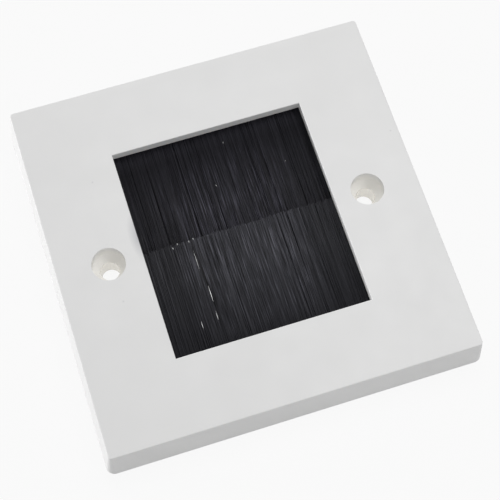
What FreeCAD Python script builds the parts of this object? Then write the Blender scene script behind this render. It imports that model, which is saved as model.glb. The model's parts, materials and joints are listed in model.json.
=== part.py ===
import FreeCAD, Part
import math
import os
import random
import Sketcher

# A square moulded plate for a wall box, with a rectangular opening for cables that two brush strips
# close from behind. The back rim lies on the XY plane and +Z points out of the front face. X runs
# along the two screw holes and Y runs along the bristles. All sizes are in millimetres.

SIZES = {
    # moulded plate: the sides lean in from the back rim to the front face, where the corners are sharper
    "back_width": 86.0,
    "face_width": 83.8,
    "depth": 9.4,
    "front_wall": 2.2,
    "skirt_wall": 2.0,
    "rim_corner_radius": 1.9,
    "face_edge_radius": 0.25,
    "aperture_width": 44.6,
    "aperture_height": 50.1,
    "aperture_edge_radius": 0.2,
    # two fixing holes on the standard spacing, each a recess with a countersink at its bottom, in a
    # column that reaches the back rim
    "screw_spacing": 60.3,
    "screw_hole": 4.3,
    "screw_mouth": 7.6,
    "screw_recess_depth": 3.0,
    "screw_cone_angle": 90.0,
    "column_diameter": 10.0,
    # walls and snap hooks behind the front wall that hold a brush strip
    "holder_wall": 1.5,
    "holder_height": 5.0,
    "holder_lip": 1.8,
    "hook_spacing": 28.0,
    "hook_width": 6.0,
    "hook_reach": 1.8,
    "hook_root": 0.8,
    "hook_depth": 2.0,
    "hook_nose": 0.6,
    # folded steel channel of a brush strip, with the core wire that its bristles are folded over
    "channel_length": 54.0,
    "channel_mouth": 28.5,
    "channel_height": 5.0,
    "channel_thickness": 4.0,
    "channel_sheet": 0.6,
    "channel_bend": 1.0,
    "wire_diameter": 1.4,
    "fold_gap": 0.1,
    # bristle row: it thins towards its tips, and the tips of the two rows lie one over the other
    "bristle_width": 49.2,
    "tip_overlap": 0.8,
    "tip_thickness": 1.7,
    "tip_lift": 0.95,
    "tip_scatter": 0.35,
    "ridge_count": 108,
    "ridge_groove": 0.25,
}
SHEET = "Sizes"
UPPER_TURN = 0
LOWER_TURN = 180
UPPER_SEED = 11
LOWER_SEED = 12
START = 1
END = 2
CENTRE = 3
ORIGIN = (-1, 1)
UPRIGHT = FreeCAD.Vector(0, 0, 1)
QUARTER_TURN = math.pi / 2
AXES = {"DistanceX": -2, "DistanceY": -1}
NEAR = 1e-4

# Expressions that several features share
PANEL_BACK = f"{SHEET}.depth - {SHEET}.front_wall"
DRAFT = f"atan(({SHEET}.back_width - {SHEET}.face_width) / (2 * {SHEET}.depth))"
STRIP_MIDDLE = f"{PANEL_BACK} - {SHEET}.channel_thickness / 2"
CHANNEL_BACK = f"{SHEET}.channel_mouth + {SHEET}.channel_height"

doc = FreeCAD.newDocument("brush_plate")
sheet = doc.addObject("Spreadsheet::Sheet", SHEET)
for row, (alias, value) in enumerate(SIZES.items(), start=1):
    sheet.set(f"A{row}", alias)
    sheet.set(f"B{row}", str(value))
    sheet.setAlias(f"B{row}", alias)
doc.recompute()


def size(alias):
    """The number that a cell of the sheet holds."""
    return float(getattr(sheet, alias))


def new_body(label):
    """An empty body whose label names its file."""
    body = doc.addObject("PartDesign::Body", label)
    body.Label = label
    return body


def new_sketch(body, name, role, offset):
    """A sketch on one of the body's origin planes, moved along the plane's normal by an expression."""
    sketch = body.newObject("Sketcher::SketchObject", name)
    plane = next(feature for feature in body.Origin.OriginFeatures if feature.Role == role)
    sketch.AttachmentSupport = (plane, [""])
    sketch.MapMode = "FlatFace"
    sketch.setExpression("AttachmentOffset.Base.z", offset)
    return sketch


def bind(sketch, kind, geometry, point, expression):
    """Ties one coordinate of a point to an expression."""
    value = float(sketch.evalExpression(expression))
    if value == 0:
        sketch.addConstraint(Sketcher.Constraint("PointOnObject", geometry, point, AXES[kind]))
        return
    index = sketch.addConstraint(Sketcher.Constraint(kind, *ORIGIN, geometry, point, value))
    sketch.setExpression(f"Constraints[{index}]", expression)


def bind_point(sketch, geometry, point, place):
    """Ties a point to a pair of expressions."""
    for kind, expression in zip(("DistanceX", "DistanceY"), place):
        bind(sketch, kind, geometry, point, expression)


def point_at(sketch, place):
    """The point of a sketch that a pair of expressions gives."""
    across, along = (float(sketch.evalExpression(text)) for text in place)
    return FreeCAD.Vector(across, along, 0)


def join(sketch, geometry, following):
    """Ties the end of one line or arc to the start of the next."""
    sketch.addConstraint(Sketcher.Constraint("Coincident", geometry, END, following, START))


def add_polygon(sketch, corners):
    """A closed outline through corners that are pairs of expressions."""
    places = [point_at(sketch, corner) for corner in corners]
    count = len(corners)
    for step in range(count):
        sketch.addGeometry(Part.LineSegment(places[step], places[(step + 1) % count]), False)
    for step in range(count):
        join(sketch, step, (step + 1) % count)
    for step, corner in enumerate(corners):
        bind_point(sketch, step, START, corner)


def add_rectangle(sketch, width, height):
    """A rectangle about the sketch's origin."""
    right = f"{width} / 2"
    top = f"{height} / 2"
    add_polygon(sketch, [(f"-{right}", f"-{top}"), (right, f"-{top}"), (right, top), (f"-{right}", top)])


def add_rounded_square(sketch, width, radius):
    """A square about the sketch's origin, with a quarter of a circle at each corner."""
    half = f"{width} / 2"
    inner = f"({half} - {radius})"
    sides = [
        ((f"-{inner}", f"-{half}"), (inner, f"-{half}")),
        ((half, f"-{inner}"), (half, inner)),
        ((inner, half), (f"-{inner}", half)),
        ((f"-{half}", inner), (f"-{half}", f"-{inner}")),
    ]
    centres = [(inner, f"-{inner}"), (inner, inner), (f"-{inner}", inner), (f"-{inner}", f"-{inner}")]
    count = len(sides)
    for line, (start, end) in enumerate(sides):
        sketch.addGeometry(Part.LineSegment(point_at(sketch, start), point_at(sketch, end)), False)
        bind_point(sketch, line, START, start)
        bind_point(sketch, line, END, end)
    rounding = float(sketch.evalExpression(radius))
    for line, centre in enumerate(centres):
        circle = Part.Circle(point_at(sketch, centre), UPRIGHT, rounding)
        first = (line - 1) * QUARTER_TURN
        arc = sketch.addGeometry(Part.ArcOfCircle(circle, first, first + QUARTER_TURN), False)
        join(sketch, line, arc)
        join(sketch, arc, (line + 1) % count)
        index = sketch.addConstraint(Sketcher.Constraint("Radius", arc, rounding))
        sketch.setExpression(f"Constraints[{index}]", radius)


def add_circle(sketch, across, along, diameter):
    """A circle about a point given by two expressions."""
    width = float(sketch.evalExpression(diameter))
    centre = point_at(sketch, (across, along))
    circle = sketch.addGeometry(Part.Circle(centre, UPRIGHT, width / 2), False)
    bind_point(sketch, circle, CENTRE, (across, along))
    index = sketch.addConstraint(Sketcher.Constraint("Diameter", circle, width))
    sketch.setExpression(f"Constraints[{index}]", diameter)


def extrude(body, kind, sketch, name, length, reverse=False, symmetric=False, taper=None):
    """A Pad or a Pocket of the sketch, checked to have added or removed material."""
    before = body.Shape.Volume if body.Tip else 0.0
    feature = body.newObject(f"PartDesign::{kind}", name)
    feature.Profile = sketch
    feature.Reversed = reverse
    feature.setExpression("Length", length)
    if symmetric:
        feature.SideType = "Symmetric"
    if taper:
        feature.setExpression("TaperAngle", taper)
    doc.recompute()
    grown = feature.Shape.Volume - before
    if (grown > 0) != (kind == "Pad"):
        raise RuntimeError(f"{name} changes the volume by {grown:.3f}")
    return feature


def round_edges(body, name, radius, chosen):
    """A fillet on those edges of the body that the test picks."""
    base = body.Tip
    edges = [f"Edge{n}" for n, edge in enumerate(base.Shape.Edges, start=1) if chosen(edge)]
    feature = body.newObject("PartDesign::Fillet", name)
    feature.Base = (base, edges)
    feature.setExpression("Radius", radius)
    doc.recompute()
    return feature


def edge_spans(edge):
    """How far an edge reaches along X, Y and Z."""
    box = edge.BoundBox
    return box.XLength, box.YLength, box.ZLength


def make_faceplate():
    """The one-piece moulding: front wall, leaning skirt, screw columns, strip holders and hooks."""
    body = new_body("faceplate")
    add_shell(body)
    add_screw_columns(body)
    for side, sign in (("upper", ""), ("lower", "-")):
        add_strip_holder(body, side, sign)
        for end in ("", "-"):
            add_hook(body, side, sign, end)
    add_screw_holes(body)
    return body


def add_shell(body):
    """A block with leaning sides and rounded edges, hollowed from behind and opened for the cables."""
    rim = new_sketch(body, "rim_outline", "XY_Plane", "0")
    add_rounded_square(rim, f"{SHEET}.back_width", f"{SHEET}.rim_corner_radius")
    extrude(body, "Pad", rim, "block", f"{SHEET}.depth", taper=f"-{DRAFT}")
    top = size("depth") - NEAR
    round_edges(body, "face_edge", f"{SHEET}.face_edge_radius", lambda edge: edge.BoundBox.ZMin > top)

    hollow = new_sketch(body, "hollow_outline", "XY_Plane", "0")
    hollow_width = f"({SHEET}.back_width - 2 * {SHEET}.skirt_wall)"
    add_rectangle(hollow, hollow_width, hollow_width)
    extrude(body, "Pocket", hollow, "hollow", PANEL_BACK, reverse=True, taper=f"-{DRAFT}")

    aperture = new_sketch(body, "aperture_outline", "XY_Plane", "0")
    add_rectangle(aperture, f"{SHEET}.aperture_width", f"{SHEET}.aperture_height")
    extrude(body, "Pocket", aperture, "aperture", f"{SHEET}.depth", reverse=True)
    half_width = size("aperture_width") / 2 + NEAR
    half_height = size("aperture_height") / 2 + NEAR

    def on_aperture_rim(edge):
        box = edge.BoundBox
        inside = max(-box.XMin, box.XMax) < half_width and max(-box.YMin, box.YMax) < half_height
        return inside and box.ZMin > top

    round_edges(body, "aperture_edge", f"{SHEET}.aperture_edge_radius", on_aperture_rim)


def add_screw_columns(body):
    """A solid column from the back rim to the front wall at each fixing hole."""
    sketch = new_sketch(body, "column_outlines", "XY_Plane", "0")
    for sign in ("", "-"):
        add_circle(sketch, f"{sign}{SHEET}.screw_spacing / 2", "0", f"{SHEET}.column_diameter")
    extrude(body, "Pad", sketch, "columns", PANEL_BACK)


def add_screw_holes(body):
    """Recessed and countersunk holes from the front face through the columns."""
    sketch = new_sketch(body, "hole_centres", "XY_Plane", f"{SHEET}.depth")
    for sign in ("", "-"):
        add_circle(sketch, f"{sign}{SHEET}.screw_spacing / 2", "0", f"{SHEET}.screw_hole")
    doc.recompute()
    hole = body.newObject("PartDesign::Hole", "screw_holes")
    hole.Profile = sketch
    hole.ThreadType = "None"
    hole.DepthType = "ThroughAll"
    hole.DrillPoint = "Flat"
    hole.setExpression("Diameter", f"{SHEET}.screw_hole")
    hole.HoleCutType = "Counterdrill"
    hole.HoleCutCustomValues = True
    hole.setExpression("HoleCutDiameter", f"{SHEET}.screw_mouth")
    hole.setExpression("HoleCutDepth", f"{SHEET}.screw_recess_depth")
    hole.setExpression("HoleCutCountersinkAngle", f"{SHEET}.screw_cone_angle")
    doc.recompute()


def add_strip_holder(body, side, sign):
    """A wall on the back of the front wall around a strip's back and ends, with lips over its mouth."""
    sketch = new_sketch(body, f"{side}_holder_outline", "XY_Plane", PANEL_BACK)
    inner_end = f"{SHEET}.channel_length / 2"
    outer_end = f"({inner_end} + {SHEET}.holder_wall)"
    lip_end = f"({inner_end} - {SHEET}.holder_lip)"
    lip_front = f"{sign}({SHEET}.channel_mouth - {SHEET}.holder_wall)"
    mouth = f"{sign}{SHEET}.channel_mouth"
    inner_back = f"{sign}({CHANNEL_BACK})"
    outer_back = f"{sign}({CHANNEL_BACK} + {SHEET}.holder_wall)"
    right_half = [
        (outer_end, outer_back),
        (outer_end, lip_front),
        (lip_end, lip_front),
        (lip_end, mouth),
        (inner_end, mouth),
        (inner_end, inner_back),
    ]
    left_half = [(f"-{across}", along) for across, along in reversed(right_half)]
    add_polygon(sketch, right_half + left_half)
    extrude(body, "Pad", sketch, f"{side}_holder", f"{SHEET}.holder_height", reverse=True)


def add_hook(body, side, sign, end):
    """A snap hook on the holder's back wall, with a sloping nose under the channel."""
    name = f"{side}_{'left' if end else 'right'}_hook"
    sketch = new_sketch(body, f"{name}_outline", "YZ_Plane", f"{end}{SHEET}.hook_spacing / 2")
    inner_back = f"{sign}({CHANNEL_BACK})"
    outer_back = f"{sign}({CHANNEL_BACK} + {SHEET}.holder_wall)"
    nose = f"{sign}({CHANNEL_BACK} - {SHEET}.hook_reach)"
    underside = f"{PANEL_BACK} - {SHEET}.channel_thickness"
    root = f"{underside} + {SHEET}.hook_root"
    tip = f"{underside} - {SHEET}.hook_depth"
    corners = [
        (outer_back, root),
        (outer_back, tip),
        (inner_back, tip),
        (nose, f"{underside} - {SHEET}.hook_nose"),
        (nose, underside),
        (inner_back, underside),
        (inner_back, root),
    ]
    add_polygon(sketch, corners)
    extrude(body, "Pad", sketch, name, f"{SHEET}.hook_width", symmetric=True)


def place_strip(piece, turn):
    """Turns a strip piece to its edge of the aperture, with its mouth towards the middle."""
    piece.Placement = FreeCAD.Placement(FreeCAD.Vector(), FreeCAD.Rotation(UPRIGHT, turn))
    sign = "-" if turn == LOWER_TURN else ""
    piece.setExpression("Placement.Base.y", f"{sign}{SHEET}.channel_mouth")
    piece.setExpression("Placement.Base.z", STRIP_MIDDLE)


def make_channel(label, turn):
    """Sheet folded to a U along X, its mouth at the local origin and its back towards +Y."""
    body = new_body(label)
    sketch = new_sketch(body, f"{label}_section", "YZ_Plane", "0")
    outside = f"{SHEET}.channel_thickness / 2"
    inside = f"({outside} - {SHEET}.channel_sheet)"
    back = f"{SHEET}.channel_height"
    inner_back = f"{back} - {SHEET}.channel_sheet"
    upper_half = [("0", inside), ("0", outside), (back, outside)]
    lower_half = [(along, f"-{up}") for along, up in reversed(upper_half)]
    pocket = [(inner_back, f"-{inside}"), (inner_back, inside)]
    add_polygon(sketch, upper_half + lower_half + pocket)
    extrude(body, "Pad", sketch, f"{label}_fold", f"{SHEET}.channel_length", symmetric=True)
    full = size("channel_length") - NEAR

    def along_fold_at(place):
        return lambda edge: edge_spans(edge)[0] > full and abs(edge.BoundBox.YMin - place) < NEAR

    outer = size("channel_height")
    inner = outer - size("channel_sheet")
    round_edges(body, f"{label}_outer_bend", f"{SHEET}.channel_bend", along_fold_at(outer))
    inner_bend = f"{SHEET}.channel_bend - {SHEET}.channel_sheet"
    round_edges(body, f"{label}_inner_bend", inner_bend, along_fold_at(inner))
    place_strip(body, turn)
    return body


def fold_centre():
    """How far behind the channel's mouth the core wire lies."""
    inner_back = size("channel_height") - size("channel_sheet")
    return inner_back - size("fold_gap") - fold_radius()


def fold_radius():
    """Half the thickness of a bristle row where the channel grips it."""
    return size("channel_thickness") / 2 - size("channel_sheet")


def make_core_wire(label, turn):
    """The straight wire that the bristles are folded over."""
    body = new_body(label)
    sketch = new_sketch(body, f"{label}_section", "YZ_Plane", "0")
    grip = f"({SHEET}.channel_thickness / 2 - {SHEET}.channel_sheet)"
    middle = f"{SHEET}.channel_height - {SHEET}.channel_sheet - {SHEET}.fold_gap - {grip}"
    add_circle(sketch, middle, "0", f"{SHEET}.wire_diameter")
    extrude(body, "Pad", sketch, f"{label}_length", f"{SHEET}.channel_length", symmetric=True)
    place_strip(body, turn)
    return body


def polygon_face(points):
    """A flat face through its corner points."""
    return Part.Face(Part.makePolygon(points + points[:1]))


class RidgedRow:
    """The free part of a bristle row, from the channel's mouth at y = 0 to tips at different -y."""

    def __init__(self, lift, seed):
        self.count = int(size("ridge_count"))
        self.pitch = size("bristle_width") / self.count
        self.reach = size("channel_mouth") + size("tip_overlap")
        self.lift = lift
        draw = random.Random(seed)
        scatter = size("tip_scatter")
        self.tips = [-self.reach + draw.uniform(-scatter, scatter) for _ in range(self.count)]

    def surface(self, up, along):
        """Height of the front (up = 1) or rear (up = -1) crests at a place along Y."""
        root = up * fold_radius()
        tip = self.lift + up * size("tip_thickness") / 2
        return root + (tip - root) * -along / self.reach

    def valley(self, index, up, along):
        across = -size("bristle_width") / 2 + index * self.pitch
        return FreeCAD.Vector(across, along, self.surface(up, along) - up * size("ridge_groove"))

    def crest(self, index, up, along):
        across = -size("bristle_width") / 2 + (index + 0.5) * self.pitch
        return FreeCAD.Vector(across, along, self.surface(up, along))

    def slope(self, index, valley, up):
        """One flank of a ridge: it also has a corner where a shorter neighbour ends."""
        tip = self.tips[index]
        points = [self.valley(valley, up, tip), self.crest(index, up, tip)]
        points += [self.crest(index, up, 0), self.valley(valley, up, 0)]
        neighbour = valley if valley > index else index - 1
        if 0 <= neighbour < self.count and self.tips[neighbour] > tip:
            points.append(self.valley(valley, up, self.tips[neighbour]))
        return polygon_face(points)

    def cap(self, index):
        """The end of a ridge."""
        tip = self.tips[index]
        front = [self.valley(index, 1, tip), self.crest(index, 1, tip), self.valley(index + 1, 1, tip)]
        rear = [self.valley(index + 1, -1, tip), self.crest(index, -1, tip), self.valley(index, -1, tip)]
        return polygon_face(front + rear)

    def side(self, valley, start, end):
        """An upright face along a valley, between two places along Y."""
        points = [self.valley(valley, 1, start), self.valley(valley, 1, end)]
        points += [self.valley(valley, -1, end), self.valley(valley, -1, start)]
        return polygon_face(points)

    def root(self):
        """The face at the channel's mouth, across all the ridges."""
        loops = {}
        for up in (1, -1):
            loops[up] = [self.valley(0, up, 0)]
            for index in range(self.count):
                loops[up] += [self.crest(index, up, 0), self.valley(index + 1, up, 0)]
        return polygon_face(loops[1] + loops[-1][::-1])

    def solid(self):
        faces = [self.root(), self.side(0, 0, self.tips[0]), self.side(self.count, 0, self.tips[-1])]
        for index in range(self.count):
            faces.append(self.cap(index))
            faces += [self.slope(index, valley, up) for valley in (index, index + 1) for up in (1, -1)]
        for valley in range(1, self.count):
            faces.append(self.side(valley, self.tips[valley - 1], self.tips[valley]))
        shell = Part.Shell(faces)
        shell.sewShape()
        solid = Part.Solid(shell)
        if solid.Volume < 0:
            solid.reverse()
        return solid


def folded_root():
    """The gripped part of a bristle row: folded round the core wire, inside the channel."""
    grip = fold_radius()
    middle = fold_centre()
    start = -size("bristle_width") / 2

    def at(along, up):
        return FreeCAD.Vector(start, along, up)

    outline = [
        Part.LineSegment(at(0, grip), at(middle, grip)),
        Part.Arc(at(middle, grip), at(middle + grip, 0), at(middle, -grip)),
        Part.LineSegment(at(middle, -grip), at(0, -grip)),
        Part.LineSegment(at(0, -grip), at(0, grip)),
    ]
    wire_circle = Part.Circle(at(middle, 0), FreeCAD.Vector(1, 0, 0), size("wire_diameter") / 2)
    length = FreeCAD.Vector(size("bristle_width"), 0, 0)
    fold = Part.Face(Part.Wire([line.toShape() for line in outline])).extrude(length)
    return fold.cut(Part.Face(Part.Wire(wire_circle.toShape())).extrude(length))


def make_bristles(label, turn, lift, seed):
    """One row of bristles as a ridged mat with uneven tips, folded over the core wire at its root."""
    piece = doc.addObject("Part::Feature", label)
    piece.Label = label
    piece.Shape = folded_root().fuse(RidgedRow(lift, seed).solid())
    place_strip(piece, turn)
    return piece


def make_strip(side, turn, lift, seed):
    """A brush strip's three pieces."""
    return [
        make_channel(f"{side}_brush_channel", turn),
        make_core_wire(f"{side}_core_wire", turn),
        make_bristles(f"{side}_bristles", turn, lift, seed),
    ]


def check(pieces):
    """Stops before anything is written if an object failed or a shape isn't one sound solid."""
    for item in doc.Objects:
        if {"Invalid", "Error"} & set(item.State):
            raise RuntimeError(f"{item.Name} failed: {item.State}")
    for piece in pieces:
        shape = piece.Shape
        if shape.isNull() or not shape.isValid() or len(shape.Solids) != 1:
            raise RuntimeError(f"{piece.Label} isn't one valid solid")


parts = [make_faceplate()]
parts += make_strip("upper", UPPER_TURN, -size("tip_lift"), UPPER_SEED)
parts += make_strip("lower", LOWER_TURN, size("tip_lift"), LOWER_SEED)
doc.recompute()
check(parts)
os.makedirs("parts", exist_ok=True)
for part in parts:
    part.Shape.exportStep(f"parts/{part.Label}.step")
    box = part.Shape.BoundBox
    print(f"{part.Label}: {part.Shape.Volume / 1000:.3f} cm3, {len(part.Shape.Faces)} faces,",
          f"x {box.XMin:.2f} to {box.XMax:.2f}, y {box.YMin:.2f} to {box.YMax:.2f},",
          f"z {box.ZMin:.2f} to {box.ZMax:.2f}")
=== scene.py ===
"""Looks of the brush cable plate: finishes, filaments of both bristle rows, floor, light and camera."""

import json
import math
import random

import bpy
from mathutils import Matrix, Vector


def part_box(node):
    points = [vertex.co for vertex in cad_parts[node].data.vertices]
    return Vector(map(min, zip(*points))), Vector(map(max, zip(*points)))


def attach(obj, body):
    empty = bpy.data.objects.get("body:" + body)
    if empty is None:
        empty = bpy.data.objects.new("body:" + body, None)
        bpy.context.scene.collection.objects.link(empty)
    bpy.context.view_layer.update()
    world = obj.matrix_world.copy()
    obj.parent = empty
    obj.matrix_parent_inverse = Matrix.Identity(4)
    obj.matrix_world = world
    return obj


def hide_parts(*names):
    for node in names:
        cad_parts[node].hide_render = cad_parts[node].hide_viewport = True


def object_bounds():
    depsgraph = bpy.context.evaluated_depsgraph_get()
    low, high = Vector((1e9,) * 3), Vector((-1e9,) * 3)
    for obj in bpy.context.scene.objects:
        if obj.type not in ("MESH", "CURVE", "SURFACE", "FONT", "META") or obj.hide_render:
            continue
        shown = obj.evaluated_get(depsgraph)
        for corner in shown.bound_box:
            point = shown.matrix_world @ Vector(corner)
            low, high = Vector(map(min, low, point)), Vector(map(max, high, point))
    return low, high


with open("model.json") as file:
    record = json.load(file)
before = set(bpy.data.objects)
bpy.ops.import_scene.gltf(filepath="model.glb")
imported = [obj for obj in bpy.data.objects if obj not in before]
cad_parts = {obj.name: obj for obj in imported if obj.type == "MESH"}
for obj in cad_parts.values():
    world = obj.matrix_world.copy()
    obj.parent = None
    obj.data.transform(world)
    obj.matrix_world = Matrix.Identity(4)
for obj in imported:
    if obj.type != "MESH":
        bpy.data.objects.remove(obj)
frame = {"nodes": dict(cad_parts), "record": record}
cad_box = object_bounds()

MM = 0.001
SEED = 7
ALONG_X = (1.0, 0.0, 0.0)
ALONG_Y = (0.0, 1.0, 0.0)
ALONG_Z = (0.0, 0.0, 1.0)
IN_PLAN = (1.0, 1.0, 0.0)
WHITE = (1.0, 1.0, 1.0, 1.0)

# Plate: its front face and its screw holes
FACE_LEVEL = cad_box[1].z
SCREW_HOLES = [mount for mount in frame["record"]["mounts"] if mount["kind"] == "bore"]
HOLE_CENTRES = [tuple(hole["pos_m"][:2]) for hole in SCREW_HOLES]
BORE_RADIUS = SCREW_HOLES[0]["dims"]["r_mm"] * MM
MOUTH_RADIUS = 3.8 * MM

# Camera: the photograph's viewpoint
EYE = Vector((-38.29, -108.20, 291.95)) * MM
AIM = Vector((0.44, -6.13, 9.44)) * MM
ROLL = math.radians(3.14)
SENSOR_WIDTH = 36.0
FOCAL_LENGTH = 98.92

# Light: lamps by place and size in metres and power in watts, and even light from all round
SOFTBOXES = {
    "overhead_softbox": {"place": (0.14, 0.17, 0.56), "width": 0.50, "height": 0.14, "power": 1.11},
    "left_strip": {"place": (-0.72, 0.42, 0.03), "width": 0.40, "height": 0.04, "power": 4.10},
    "front_fill": {"place": (0.30, -0.38, 0.42), "width": 0.30, "height": 0.20, "power": 0.34},
}
WORLD_LIGHT = 0.46
WORLD_SEEN = 1.0
DIFFUSE_BOUNCES = 10

# Noise: scales are in cycles per metre, and the span is the part of a noise field's range that is used
NOISE_SPAN = (0.3, 0.7)
NOISE_DETAIL = 3.0

# Floor: its finish, and how white it looks
FLOOR_REACH = 3.0
FLOOR_CORNERS = ((-1, -1), (1, -1), (1, 1), (-1, 1))
FLOOR_MOTTLE = {"scale": 6.0}
FLOOR_SHADES = ((0.67, 0.67, 0.67), (0.69, 0.69, 0.69))
FLOOR_ROUGHNESS = 0.9
FLOOR_WHITENESS = 0.90

# Zones of the floor under the plate: an edge is where a zone starts to fade and where it has gone
HOLLOW_EDGE = (40.5 * MM, 41.5 * MM)
OPENING_EDGE_X = (20.0 * MM, 22.0 * MM)
OPENING_EDGE_Y = (25.0 * MM, 27.0 * MM)
LIT_HOLE_RADIUS = 4.5 * MM
LIT_HOLE_CORE = 0.9

# White plastic
PLASTIC_MOTTLE = {"scale": 55.0}
PLASTIC_SHADES = ((0.832, 0.832, 0.829), (0.852, 0.852, 0.850))
PLASTIC_HAZE = {"scale": 160.0, "detail": 5.0}
PLASTIC_ROUGHNESS = (0.38, 0.50)
PLASTIC_IOR = 1.49
PLASTIC_GRAIN = {"scale": 2600.0, "detail": 2.0}
PLASTIC_RELIEF = {"strength": 0.10, "distance": 0.02 * MM}

# White plastic in the screw holes: painted light pales the recess between two depths and tints the bore
# cream, and the bore has a glossy coat
RECESS_PAINTED_LIGHT = (0.965, 0.955, 0.928)
RECESS_LIGHT_DEPTHS = (3.2 * MM, 0.6 * MM)
RECESS_LIGHT_MARGIN = 0.1 * MM
BORE_PAINTED_LIGHT = (0.970, 0.930, 0.820)
BORE_LIGHT_AND_COAT_MARGIN = 0.05 * MM
BORE_COAT_ROUGHNESS = 0.05
BORE_COAT_IOR = 5.0
HOLE_CORE = 0.99

# Marks on the front face: a grey mark beside the opening and a few specks, which end at a small depth
GREY_MARK_CENTRE = (-22.1 * MM, 4.2 * MM)
GREY_MARK_REACH = (2.2 * MM, 6.2 * MM)
GREY_MARK_STRENGTH = 0.72
SPECKS = ((-28.28, 19.92), (40.07, 12.12), (-29.43, -9.27))
SPECK_RADIUS = 0.30 * MM
SPECK_CORE = 0.3
SPECK_STRENGTH = 0.25
MARK_COLOUR = (0.42, 0.42, 0.45)
MARK_DEPTHS = (0.6 * MM, 0.1 * MM)

# Plated steel
STEEL_PATCHES = {"scale": 260.0, "detail": 4.0}
STEEL_SHADES = ((0.46, 0.47, 0.49), (0.62, 0.63, 0.64))
STEEL_LINES = {"scale": 900.0, "stretch": (0.04, 1.0, 1.0)}
STEEL_ROUGHNESS = (0.28, 0.46)
STEEL_RELIEF = {"strength": 0.15, "distance": 0.02 * MM}

# Tones of the nylon, painted lighter for the lower row and darker for the upper in place of how light falls
# on each: the root tone, a painted shade, the tone by the opening's edge, which is painted light, and the
# darkest, usual and palest filaments
NYLON_TONES = {
    "upper": {"root": 0.012, "edge_light": 0.026, "dark": 0.004, "usual": 0.027, "pale": 0.085},
    "lower": {"root": 0.020, "edge_light": 0.026, "dark": 0.014, "usual": 0.056, "pale": 0.140},
}
NYLON_TINT = {"upper": (1.03, 1.00, 1.30), "lower": (1.00, 1.00, 1.18)}
NYLON_STOPS = {"dark": 0.0, "usual": 0.6, "pale": 1.0}
# Where painted light pales the rows by the opening's edge
EDGE_LIGHT_REACH = (21.0 * MM, 25.0 * MM)

# Streaks of the nylon: each filament's own tone and the bunches that filaments form, and where both fade
# towards the roots, the sides and the tips into the darker root tone, a painted shade, with the share that
# is left there
FILAMENT_SHADE = {"scale": 1.0, "detail": 1.0, "stretch": (900.0, 170.0, 0.0)}
BUNCHES = {"scale": 3200.0, "detail": 2.0, "stretch": (1.0, 0.03, 0.0)}
STREAK_SPAN = (0.3, 1.7)
ROOT_SHADE_FADE = {"upper": (10.0 * MM, 23.0 * MM), "lower": (8.0 * MM, 24.0 * MM)}
ROOT_SHADE_SHARE = {"upper": 0.0, "lower": 0.3}
SIDE_SHADE_FADE = (10.0 * MM, 17.0 * MM)
SIDE_SHADE_SHARE = 0.2
TIP_SHADE_FADE = (1.0 * MM, 1.9 * MM)
TIP_SHADE_SHARE = {"upper": 0.25, "lower": 1.0}

# Painted shade along a seam between filaments, in line with the longest slits
SEAM_SHADE_CENTRE = (-10.58 * MM, -11.0 * MM)
SEAM_SHADE_REACH = (0.32 * MM, 13.5 * MM)
SEAM_SHADE_TURN = math.radians(1.9)
SEAM_SHADE_CORE = 0.3
SEAM_SHADE_STRENGTH = 0.85
SEAM_SHADE_COLOUR = (0.001, 0.001, 0.001)

# Gloss and grain of the nylon, which is duller towards the roots
NYLON_ROUGHNESS = (0.36, 0.70)
GLOSS_FADE = (8.0 * MM, 20.0 * MM)
ROUGHNESS_SPREAD = 0.08
NYLON_IOR = 1.50
NYLON_SPECULAR = 0.18
NYLON_GRAIN = {"scale": 5000.0, "detail": 2.0}
NYLON_RELIEF = {"strength": 0.10, "distance": 0.01 * MM}

# Filaments of a bristle row: tubes with rings along them, the last one close to the tip
FILAMENTS = 3600
FILAMENT_RADIUS = 0.10 * MM
FILAMENT_SIDES = 4
FILAMENT_RINGS = 4
TIP_RING = 0.992
FLAT_END = 0.9
ROOT_INSIDE = 2.0 * MM
FILAMENT_LEAN = 0.10 * MM
FILAMENT_BOW = 0.10 * MM

# Tufts: layers of them above each other, their relative widths, and how far they gather, lean and rise
TUFT_LAYERS = 3
TUFTS = 84
TUFT_WIDTHS = (0.5, 1.5)
TUFT_PULL = 0.16
TUFT_LEAN = 0.10 * MM
TUFT_RISE = 0.10

# Tips: the row's thickness there, the line they are trimmed to, how far they may pass the solid's tips, and
# how uneven they are from tuft to tuft, across a tuft and from filament to filament
TIP_THICKNESS = 1.9 * MM
TIP_EDGE = {"upper": 1.15 * MM, "lower": 1.30 * MM}
TIP_EDGE_SLOPE = {"upper": 0.0, "lower": 0.012}
TIP_EDGE_BOW = {"upper": 0.0, "lower": 0.06 * MM}
TIP_OVERHANG = {"upper": 0.0, "lower": 0.40 * MM}
TUFT_LENGTH_SPREAD = {"upper": 0.03 * MM, "lower": 0.13 * MM}
TUFT_ROUNDING = {"upper": 0.05 * MM, "lower": 0.42 * MM}
TIP_SHORTFALL = {"upper": 0.05 * MM, "lower": 0.14 * MM}

# Slits between filaments that show the floor: x, y, half length and how far the filaments' centres move
# aside, in mm, as seen at SLIT_LEVEL
SLITS = (
    (-11.30, -3.95, 4.80, 0.104),
    (-10.60, -12.45, 3.10, 0.114),
    (-10.78, -17.75, 1.90, 0.108),
    (-14.50, -18.80, 1.40, 0.094),
    (-10.50, 1.10, 0.48, 0.118),
    (-11.62, 0.75, 0.44, 0.110),
    (-14.25, 0.90, 0.44, 0.106),
    (-15.44, 0.22, 0.48, 0.118),
    (-1.72, 11.94, 0.55, 0.106),
    (2.97, 21.76, 0.40, 0.086),
    (15.19, 13.18, 0.45, 0.104),
)
SLIT_LEVEL = 7.0 * MM

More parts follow.
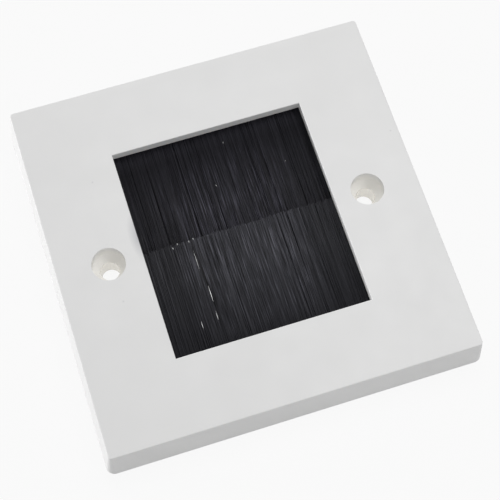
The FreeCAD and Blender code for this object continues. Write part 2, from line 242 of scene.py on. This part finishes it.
# Room for the slits: how far to each side filaments give way, and where they get more rings, in half
# lengths from the slit's middle, between two shares of their own length
SLIT_SPREAD = 0.6 * MM
SLIT_STEPS = (-1.0, -0.5, 0.0, 0.5, 1.0)
SLIT_ENDS = (0.02, 0.985)


def new_material(name):
    """A node material and its tree and main shader."""
    material = bpy.data.materials.new(name)
    material.use_nodes = True
    tree = material.node_tree
    return material, tree, tree.nodes["Principled BSDF"]


def object_coordinates(tree):
    """The surface's own coordinates, in metres."""
    return tree.nodes.new("ShaderNodeTexCoord").outputs["Object"]


def noise(tree, coordinates, scale, detail=NOISE_DETAIL, stretch=(1.0, 1.0, 1.0)):
    """A grey noise field; stretch multiplies its scale along each axis."""
    mapping = tree.nodes.new("ShaderNodeMapping")
    mapping.inputs["Scale"].default_value = stretch
    tree.links.new(coordinates, mapping.inputs["Vector"])
    texture = tree.nodes.new("ShaderNodeTexNoise")
    texture.inputs["Scale"].default_value = scale
    texture.inputs["Detail"].default_value = detail
    tree.links.new(mapping.outputs["Vector"], texture.inputs["Vector"])
    return texture.outputs["Fac"]


def value_range(tree, field, low, high, start=NOISE_SPAN[0], end=NOISE_SPAN[1]):
    """Maps a field from start..end to the values low..high, held at both ends."""
    node = tree.nodes.new("ShaderNodeMapRange")
    node.inputs["From Min"].default_value = start
    node.inputs["From Max"].default_value = end
    node.inputs["To Min"].default_value = low
    node.inputs["To Max"].default_value = high
    tree.links.new(field, node.inputs["Value"])
    return node.outputs["Result"]


def scaled(tree, field, most):
    """A field of 0 to 1 as one of 0 to most."""
    return value_range(tree, field, 0.0, most, 0.0, 1.0)


def colour_ramp(tree, field, stops):
    """A colour that follows the field through stops of position and colour."""
    node = tree.nodes.new("ShaderNodeValToRGB")
    elements = node.color_ramp.elements
    while len(elements) < len(stops):
        elements.new(0.5)
    for element, (position, colour) in zip(elements, stops):
        element.position = position
        element.color = (*colour, 1.0)
    tree.links.new(field, node.inputs["Fac"])
    return node.outputs["Color"]


def mottled(tree, field, shades):
    """A colour that wavers between two shades with a noise field."""
    return colour_ramp(tree, field, list(zip(NOISE_SPAN, shades)))


def mix_colours(tree, factor, first, second):
    """First colour where the factor is 0 and second where it is 1; a colour is a field or three numbers."""
    node = tree.nodes.new("ShaderNodeMix")
    node.data_type = "RGBA"
    tree.links.new(factor, node.inputs["Factor"])
    for name, colour in (("A", first), ("B", second)):
        if isinstance(colour, tuple):
            node.inputs[name].default_value = (*colour, 1.0)
        else:
            tree.links.new(colour, node.inputs[name])
    return node.outputs["Result"]


def bump(tree, shader, height, strength, distance):
    """Relief of the given distance in metres."""
    node = tree.nodes.new("ShaderNodeBump")
    node.inputs["Strength"].default_value = strength
    node.inputs["Distance"].default_value = distance
    tree.links.new(height, node.inputs["Height"])
    tree.links.new(node.outputs["Normal"], shader.inputs["Normal"])


def combine(tree, operation, *fields):
    """Fields combined in turn by a math operation."""
    result = fields[0]
    for field in fields[1:]:
        node = tree.nodes.new("ShaderNodeMath")
        node.operation = operation
        tree.links.new(result, node.inputs[0])
        tree.links.new(field, node.inputs[1])
        result = node.outputs["Value"]
    return result


def distance_along(tree, place, axes):
    """How far a place is from the origin along the axes that are 1 in axes."""
    kept = tree.nodes.new("ShaderNodeVectorMath")
    kept.operation = "MULTIPLY"
    kept.inputs[1].default_value = axes
    tree.links.new(place, kept.inputs[0])
    node = tree.nodes.new("ShaderNodeVectorMath")
    node.operation = "LENGTH"
    tree.links.new(kept.outputs["Vector"], node.inputs[0])
    return node.outputs["Value"]


def between_depths(tree, height, low, high, depths):
    """A value that goes from low to high between a deeper and a shallower place below the front face."""
    deeper, shallower = depths
    return value_range(tree, height, low, high, FACE_LEVEL - deeper, FACE_LEVEL - shallower)


def spot(tree, place, centre, reach, core=0.0, turn=0.0):
    """1 within the core share of an upright oval column, falling to 0 at its reach."""
    mapping = tree.nodes.new("ShaderNodeMapping")
    mapping.vector_type = "TEXTURE"
    mapping.inputs["Location"].default_value = (*centre, 0.0)
    mapping.inputs["Rotation"].default_value = (0.0, 0.0, turn)
    mapping.inputs["Scale"].default_value = (*reach, 1.0)
    tree.links.new(place, mapping.inputs["Vector"])
    away = distance_along(tree, mapping.outputs["Vector"], IN_PLAN)
    return value_range(tree, away, 1.0, 0.0, core, 1.0)


def round_spots(tree, place, centres, radius, core):
    """Equal round spots about several centres."""
    spots = [spot(tree, place, centre, (radius, radius), core) for centre in centres]
    return combine(tree, "MAXIMUM", *spots)


def face_marks(tree, place, height):
    """Where the grey mark and the specks lie on the front face."""
    grey_mark = scaled(tree, spot(tree, place, GREY_MARK_CENTRE, GREY_MARK_REACH), GREY_MARK_STRENGTH)
    centres = [(x * MM, y * MM) for x, y in SPECKS]
    specks = scaled(tree, round_spots(tree, place, centres, SPECK_RADIUS, SPECK_CORE), SPECK_STRENGTH)
    marks = combine(tree, "MAXIMUM", grey_mark, specks)
    on_face = between_depths(tree, height, 0.0, 1.0, MARK_DEPTHS)
    return combine(tree, "MULTIPLY", marks, on_face)


def painted_recess_light(tree, place, height):
    """Where the screw holes are deep enough to get painted light that pales them."""
    holes = round_spots(tree, place, HOLE_CENTRES, MOUTH_RADIUS + RECESS_LIGHT_MARGIN, HOLE_CORE)
    below_face = between_depths(tree, height, 1.0, 0.0, RECESS_LIGHT_DEPTHS)
    return combine(tree, "MULTIPLY", holes, below_face)


def white_plastic():
    """Satin plastic with a faint mottle and grain: painted light makes it paler deep in the holes and cream
    in their bores, which are glossy.
    """
    material, tree, shader = new_material("white_plastic")
    place = object_coordinates(tree)
    height = distance_along(tree, place, ALONG_Z)
    bore_light_and_coat = round_spots(tree, place, HOLE_CENTRES, BORE_RADIUS + BORE_LIGHT_AND_COAT_MARGIN, HOLE_CORE)
    colour = mottled(tree, noise(tree, place, **PLASTIC_MOTTLE), PLASTIC_SHADES)
    colour = mix_colours(tree, face_marks(tree, place, height), colour, MARK_COLOUR)
    # Painted light: paler deep in the holes and cream in the bores
    colour = mix_colours(tree, painted_recess_light(tree, place, height), colour, RECESS_PAINTED_LIGHT)
    colour = mix_colours(tree, bore_light_and_coat, colour, BORE_PAINTED_LIGHT)
    tree.links.new(colour, shader.inputs["Base Color"])
    haze = noise(tree, place, **PLASTIC_HAZE)
    tree.links.new(value_range(tree, haze, *PLASTIC_ROUGHNESS), shader.inputs["Roughness"])
    shader.inputs["IOR"].default_value = PLASTIC_IOR
    tree.links.new(bore_light_and_coat, shader.inputs["Coat Weight"])
    shader.inputs["Coat Roughness"].default_value = BORE_COAT_ROUGHNESS
    shader.inputs["Coat IOR"].default_value = BORE_COAT_IOR
    bump(tree, shader, noise(tree, place, **PLASTIC_GRAIN), **PLASTIC_RELIEF)
    return material


def plated_steel():
    """Zinc plated sheet and wire: grey patches and fine drawing lines along the strip."""
    material, tree, shader = new_material("plated_steel")
    place = object_coordinates(tree)
    colour = mottled(tree, noise(tree, place, **STEEL_PATCHES), STEEL_SHADES)
    tree.links.new(colour, shader.inputs["Base Color"])
    shader.inputs["Metallic"].default_value = 1.0
    lines = noise(tree, place, **STEEL_LINES)
    tree.links.new(value_range(tree, lines, *STEEL_ROUGHNESS), shader.inputs["Roughness"])
    bump(tree, shader, lines, **STEEL_RELIEF)
    return material


def filament_shade(tree, along):
    """A shade of each filament's own, from 0 to 1, which changes slowly along it."""
    island = tree.nodes.new("ShaderNodeNewGeometry").outputs["Random Per Island"]
    node = tree.nodes.new("ShaderNodeCombineXYZ")
    tree.links.new(island, node.inputs["X"])
    tree.links.new(along, node.inputs["Y"])
    return value_range(tree, noise(tree, node.outputs["Vector"], **FILAMENT_SHADE), 0.0, 1.0)


def nylon_colours(side):
    """The tones of one row as colours."""
    colours = {}
    for name, tone in NYLON_TONES[side].items():
        colours[name] = tuple(tone * share for share in NYLON_TINT[side])
    return colours


def nylon_streaks(tree, place, shade, colours):
    """Streaks of dark, usual and pale filaments, alone and in bunches."""
    bunches = value_range(tree, noise(tree, place, **BUNCHES), 0.0, 1.0)
    streak = value_range(tree, combine(tree, "ADD", shade, bunches), 0.0, 1.0, *STREAK_SPAN)
    return colour_ramp(tree, streak, [(stop, colours[name]) for name, stop in NYLON_STOPS.items()])


def streaks_over_shade(tree, place, along, side):
    """How far the streaks show: they fade towards the roots, the sides and the tips, where the darker root
    tone paints shade.
    """
    across = distance_along(tree, place, ALONG_X)
    sides = value_range(tree, across, 1.0, SIDE_SHADE_SHARE, *SIDE_SHADE_FADE)
    roots = value_range(tree, along, 1.0, ROOT_SHADE_SHARE[side], *ROOT_SHADE_FADE[side])
    tips = value_range(tree, along, TIP_SHADE_SHARE[side], 1.0, *TIP_SHADE_FADE)
    return combine(tree, "MULTIPLY", sides, roots, tips)


def black_nylon_painted_light(side):
    """Satin black nylon of one row, toned per row as painted light and shade: streaky, plainer and with
    painted shade towards the roots, painted light by the opening's edge and painted shade along a seam.
    """
    material, tree, shader = new_material(f"black_nylon_painted_light_{side}")
    colours = nylon_colours(side)
    place = object_coordinates(tree)
    along = distance_along(tree, place, ALONG_Y)
    shade = filament_shade(tree, along)
    streaks = nylon_streaks(tree, place, shade, colours)
    # Where the streaks fade, the darker root tone is a painted shade
    tone = mix_colours(tree, streaks_over_shade(tree, place, along, side), colours["root"], streaks)
    # Painted light by the opening's edge
    edge_lit = value_range(tree, along, 0.0, 1.0, *EDGE_LIGHT_REACH)
    tone = mix_colours(tree, edge_lit, tone, colours["edge_light"])
    # Painted shade along the seam between filaments
    seam_shade = spot(tree, place, SEAM_SHADE_CENTRE, SEAM_SHADE_REACH, SEAM_SHADE_CORE, SEAM_SHADE_TURN)
    tone = mix_colours(tree, scaled(tree, seam_shade, SEAM_SHADE_STRENGTH), tone, SEAM_SHADE_COLOUR)
    tree.links.new(tone, shader.inputs["Base Color"])
    dull = value_range(tree, along, *NYLON_ROUGHNESS, *GLOSS_FADE)
    uneven = scaled(tree, shade, ROUGHNESS_SPREAD)
    tree.links.new(combine(tree, "ADD", dull, uneven), shader.inputs["Roughness"])
    shader.inputs["IOR"].default_value = NYLON_IOR
    shader.inputs["Specular IOR Level"].default_value = NYLON_SPECULAR
    bump(tree, shader, noise(tree, place, **NYLON_GRAIN), **NYLON_RELIEF)
    return material


def seen_directly(tree):
    """1 for rays that show the background: camera, glossy and transmission rays."""
    path = tree.nodes.new("ShaderNodeLightPath")
    kinds = ("Is Camera Ray", "Is Glossy Ray", "Is Transmission Ray")
    return combine(tree, "MAXIMUM", *(path.outputs[kind] for kind in kinds))


def within(tree, place, edge_x, edge_y):
    """1 inside a rectangle about the origin, falling to 0 over its edges."""
    across = value_range(tree, distance_along(tree, place, ALONG_X), 1.0, 0.0, *edge_x)
    along = value_range(tree, distance_along(tree, place, ALONG_Y), 1.0, 0.0, *edge_y)
    return combine(tree, "MULTIPLY", across, along)


def out_of_hollow(tree, place):
    """0 on the floor that the plate's hollow keeps dark, and 1 beside the plate and under its openings."""
    beside = value_range(tree, within(tree, place, HOLLOW_EDGE, HOLLOW_EDGE), 1.0, 0.0, 0.0, 1.0)
    opening = within(tree, place, OPENING_EDGE_X, OPENING_EDGE_Y)
    holes = round_spots(tree, place, HOLE_CENTRES, LIT_HOLE_RADIUS, LIT_HOLE_CORE)
    return combine(tree, "MAXIMUM", beside, opening, holes)


def pale_floor():
    """Matt pale floor that looks nearly white, and still takes the object's shadow."""
    material, tree, shader = new_material("pale_floor")
    place = object_coordinates(tree)
    colour = mottled(tree, noise(tree, place, **FLOOR_MOTTLE), FLOOR_SHADES)
    tree.links.new(colour, shader.inputs["Base Color"])
    shader.inputs["Roughness"].default_value = FLOOR_ROUGHNESS
    shader.inputs["Specular IOR Level"].default_value = 0.0
    white = tree.nodes.new("ShaderNodeEmission")
    white_seen = combine(tree, "MULTIPLY", seen_directly(tree), out_of_hollow(tree, place))
    mix = tree.nodes.new("ShaderNodeMixShader")
    tree.links.new(scaled(tree, white_seen, FLOOR_WHITENESS), mix.inputs["Fac"])
    tree.links.new(shader.outputs["BSDF"], mix.inputs[1])
    tree.links.new(white.outputs["Emission"], mix.inputs[2])
    tree.links.new(mix.outputs["Shader"], tree.nodes["Material Output"].inputs["Surface"])
    return material


def add_mesh(name, points, faces, material):
    """A new mesh object in the scene, with one material."""
    mesh = bpy.data.meshes.new(name)
    mesh.from_pydata(points, [], faces)
    mesh.materials.append(material)
    added = bpy.data.objects.new(name, mesh)
    bpy.context.scene.collection.objects.link(added)
    return added


def make_floor():
    """A plain plate of floor under the back rim."""
    level = cad_box[0].z
    points = [(x * FLOOR_REACH, y * FLOOR_REACH, level) for x, y in FLOOR_CORNERS]
    floor = add_mesh("floor", points, [range(len(points))], pale_floor())


def make_world():
    """Even soft light from all round, which looks white where it is seen directly."""
    world = bpy.data.worlds.new("studio")
    bpy.context.scene.world = world
    world.use_nodes = True
    tree = world.node_tree
    background = tree.nodes["Background"]
    background.inputs["Color"].default_value = WHITE
    strength = value_range(tree, seen_directly(tree), WORLD_LIGHT, WORLD_SEEN, 0.0, 1.0)
    tree.links.new(strength, background.inputs["Strength"])


def make_softboxes():
    """Large area lamps aimed at the plate."""
    for name, box in SOFTBOXES.items():
        data = bpy.data.lights.new(name, "AREA")
        data.shape = "RECTANGLE"
        data.size = box["width"]
        data.size_y = box["height"]
        data.energy = box["power"]
        lamp = bpy.data.objects.new(name, data)
        lamp.location = box["place"]
        lamp.visible_camera = False
        lamp.rotation_euler = (-lamp.location).to_track_quat("-Z", "Y").to_euler()
        bpy.context.scene.collection.objects.link(lamp)


def make_camera():
    """The photograph's viewpoint."""
    data = bpy.data.cameras.new("camera")
    data.sensor_fit = "HORIZONTAL"
    data.sensor_width = SENSOR_WIDTH
    data.lens = FOCAL_LENGTH
    camera = bpy.data.objects.new("camera", data)
    aimed = (AIM - EYE).to_track_quat("-Z", "Y").to_matrix().to_4x4()
    camera.matrix_world = Matrix.Translation(EYE) @ aimed @ Matrix.Rotation(ROLL, 4, "Z")
    bpy.context.scene.collection.objects.link(camera)
    bpy.context.scene.camera = camera


def held(value, low, high):
    """The value, held between two limits."""
    return min(max(value, low), high)


class Row:
    """One bristle row, measured on its solid and on the channel that holds it."""

    def __init__(self, side):
        self.side = side
        low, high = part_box(f"{side}_bristles")
        channel_low, channel_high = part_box(f"{side}_brush_channel")
        self.outward = 1.0 if side == "upper" else -1.0
        self.mouth = channel_low.y if side == "upper" else channel_high.y
        self.middle = (channel_low.z + channel_high.z) / 2
        self.longest = low.y if side == "upper" else high.y
        self.left = low.x + FILAMENT_RADIUS
        self.right = high.x - FILAMENT_RADIUS
        below = self.middle - low.z
        above = high.z - self.middle
        self.root_half = min(below, above) - FILAMENT_RADIUS
        self.tip_half = TIP_THICKNESS / 2 - FILAMENT_RADIUS
        lift = max(below, above) - TIP_THICKNESS / 2
        self.lift = lift if above > below else -lift

    def tip_edge(self, x):
        """Where the trimmed tips end: a slanting line that bows towards the other row at the sides."""
        bow = TIP_EDGE_BOW[self.side] * (x / self.right) ** 2
        return -self.outward * (TIP_EDGE[self.side] + TIP_EDGE_SLOPE[self.side] * x + bow)

    def limit_tip(self, y):
        """The tip's y, held to the solid's reach and its overhang."""
        limit = self.longest - self.outward * TIP_OVERHANG[self.side]
        if self.outward > 0:
            return max(y, limit)
        return min(y, limit)


class Tuft:
    """Filaments that lean together."""

    def __init__(self, side, left, right, dice):
        self.right = right
        self.centre = (left + right) / 2
        self.lean = dice.gauss(0.0, TUFT_LEAN)
        self.longer = dice.gauss(0.0, TUFT_LENGTH_SPREAD[side])
        self.rise = dice.gauss(0.0, TUFT_RISE)

    def offset(self, x):
        """How far from the tuft's middle a place is: 1 or -1 at its edges."""
        return (x - self.centre) / (self.right - self.centre)


def make_tufts(row, dice):
    """Tufts of uneven width, side by side along the row."""
    widths = [dice.uniform(*TUFT_WIDTHS) for _ in range(TUFTS)]
    scale = (row.right - row.left) / sum(widths)
    tufts = []
    left = row.left
    for width in widths:
        right = left + width * scale
        tufts.append(Tuft(row.side, left, right, dice))
        left = right
    return tufts


class Filament:
    """The free line of one filament, as it runs where no slit parts it."""

    def __init__(self, root, tip, bow):
        self.root = root
        self.tip = tip
        self.bow = bow

    def share_at(self, y):
        """The share of the filament's length at which it reaches y."""
        return (y - self.root.y) / (self.tip.y - self.root.y)

    def at(self, share):
        """The place at a share of the filament's length."""
        point = self.root.lerp(self.tip, share)
        point.x += self.bow * math.sin(math.pi * share)
        return point


class Slit:
    """A gap between filaments that opens along the photograph's line of sight."""

    def __init__(self, x, y, half_length, opening):
        self.front = Vector((x * MM, y * MM, SLIT_LEVEL))
        self.sight = (EYE - self.front) / (EYE.z - SLIT_LEVEL)
        self.half_length = half_length * MM
        self.opening = opening * MM

    def centre(self, z):
        """Where the slit is at a height."""
        return self.front + self.sight * (z - SLIT_LEVEL)

    def beside(self, filament):
        """The place on a filament that is nearest to the slit, and the slit's centre at that height."""
        share = held(filament.share_at(self.front.y), 0.0, 1.0)
        point = filament.at(share)
        return point, self.centre(point.z)

    def part(self, point, side):
        """Moves a filament's point out of the slit, to the filament's own side of it."""
        centre = self.centre(point.z)
        along = (point.y - centre.y) / self.half_length
        if abs(along) >= 1.0:
            return
        lens = 1.0 - along ** 2
        away = (point.x - centre.x) * side
        spread = held(1.0 - away / SLIT_SPREAD, 0.0, 1.0)
        point.x += side * lens * (self.opening * spread + max(-away, 0.0))


OPEN_SLITS = [Slit(*sizes) for sizes in SLITS]


def slits_beside(filament):
    """The slits that a filament passes, each with 1 or -1 for its right or left side."""
    passed = []
    for slit in OPEN_SLITS:
        point, centre = slit.beside(filament)
        away = point.x - centre.x
        if abs(away) < SLIT_SPREAD:
            passed.append((slit, math.copysign(1.0, away)))
    return passed


def ring_places(filament, passed):
    """The shares of a filament's length where it has a ring, with more of them beside a slit."""
    places = {step / (FILAMENT_RINGS - 1) for step in range(FILAMENT_RINGS)}
    places.add(TIP_RING)
    first, last = SLIT_ENDS
    for slit, _ in passed:
        _, centre = slit.beside(filament)
        for step in SLIT_STEPS:
            share = filament.share_at(centre.y + step * slit.half_length)
            if first < share < last:
                places.add(share)
    return sorted(places)


def filament_line(row, tuft, x, level, dice):
    """The centre line of one filament, from inside the channel to its tip."""
    tip_x = x + (tuft.centre - x) * TUFT_PULL + tuft.lean + dice.gauss(0.0, FILAMENT_LEAN)
    tip_x = held(tip_x, row.left, row.right)
    shortfall = abs(dice.gauss(0.0, TIP_SHORTFALL[row.side]))
    rounding = TUFT_ROUNDING[row.side] * tuft.offset(x) ** 2
    tip_y = row.limit_tip(row.tip_edge(tip_x) - row.outward * (tuft.longer - shortfall - rounding))
    bow = dice.gauss(0.0, FILAMENT_BOW)
    tip_level = held(level + tuft.rise, -1.0, 1.0)
    root = Vector((x, row.mouth, row.middle + level * row.root_half))
    tip = Vector((tip_x, tip_y, row.middle + tip_level * row.tip_half + row.lift))
    line = [root + Vector((0.0, row.outward * ROOT_INSIDE, 0.0))]
    filament = Filament(root, tip, bow)
    passed = slits_beside(filament)
    for share in ring_places(filament, passed):
        point = filament.at(share)
        for slit, side in passed:
            slit.part(point, side)
        line.append(point)
    return line


def add_tube(line, points, faces):
    """A closed tube along a line that runs along Y, with flat sides that face up, down, left and right."""
    first = len(points)
    turn = math.copysign(math.tau / FILAMENT_SIDES, line[0].y - line[-1].y)
    for centre in line:
        for side in range(FILAMENT_SIDES):
            angle = turn * (side + 0.5)
            offset = Vector((math.cos(angle), 0.0, math.sin(angle))) * FILAMENT_RADIUS
            points.append(centre + offset)
    for ring in range(len(line) - 1):
        start = first + ring * FILAMENT_SIDES
        for side in range(FILAMENT_SIDES):
            following = (side + 1) % FILAMENT_SIDES
            corners = (side, following, FILAMENT_SIDES + following, FILAMENT_SIDES + side)
            faces.append(tuple(start + corner for corner in corners))
    last = first + (len(line) - 1) * FILAMENT_SIDES
    faces.append(tuple(first + side for side in reversed(range(FILAMENT_SIDES))))
    faces.append(tuple(last + side for side in range(FILAMENT_SIDES)))


def make_filaments(side):
    """All filaments of one row as a single piece that stands for the row's solid."""
    row = Row(side)
    dice = random.Random(f"{SEED} {side}")
    layers = [make_tufts(row, dice) for _ in range(TUFT_LAYERS)]
    points = []
    faces = []
    for number in range(FILAMENTS):
        share = (number + dice.random()) / FILAMENTS
        x = row.left + (row.right - row.left) * share
        level = dice.uniform(-1.0, 1.0)
        layer = layers[min(int((level + 1.0) / 2 * TUFT_LAYERS), TUFT_LAYERS - 1)]
        tuft = next(one for one in layer if x <= one.right or one is layer[-1])
        line = filament_line(row, tuft, x, level, dice)
        add_tube(line, points, faces)
    piece = add_mesh(f"{side}_filaments", points, faces, black_nylon_painted_light(side))
    for face in piece.data.polygons:
        face.use_smooth = abs(face.normal.y) < FLAT_END
    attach(piece, "root")
    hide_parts(f"{side}_bristles")


def dress_nodes(plastic, steel):
    """Gives the plate, the channels and the core wires their finishes."""
    for name, node in frame["nodes"].items():
        if name.endswith("_bristles"):
            continue
        node.data.materials.clear()
        node.data.materials.append(plastic if name == "faceplate" else steel)


dress_nodes(white_plastic(), plated_steel())
for row_side in ("upper", "lower"):
    make_filaments(row_side)
make_floor()
make_world()
make_softboxes()
make_camera()
bpy.context.scene.cycles.diffuse_bounces = DIFFUSE_BOUNCES
bpy.context.scene.view_settings.view_transform = "Standard"
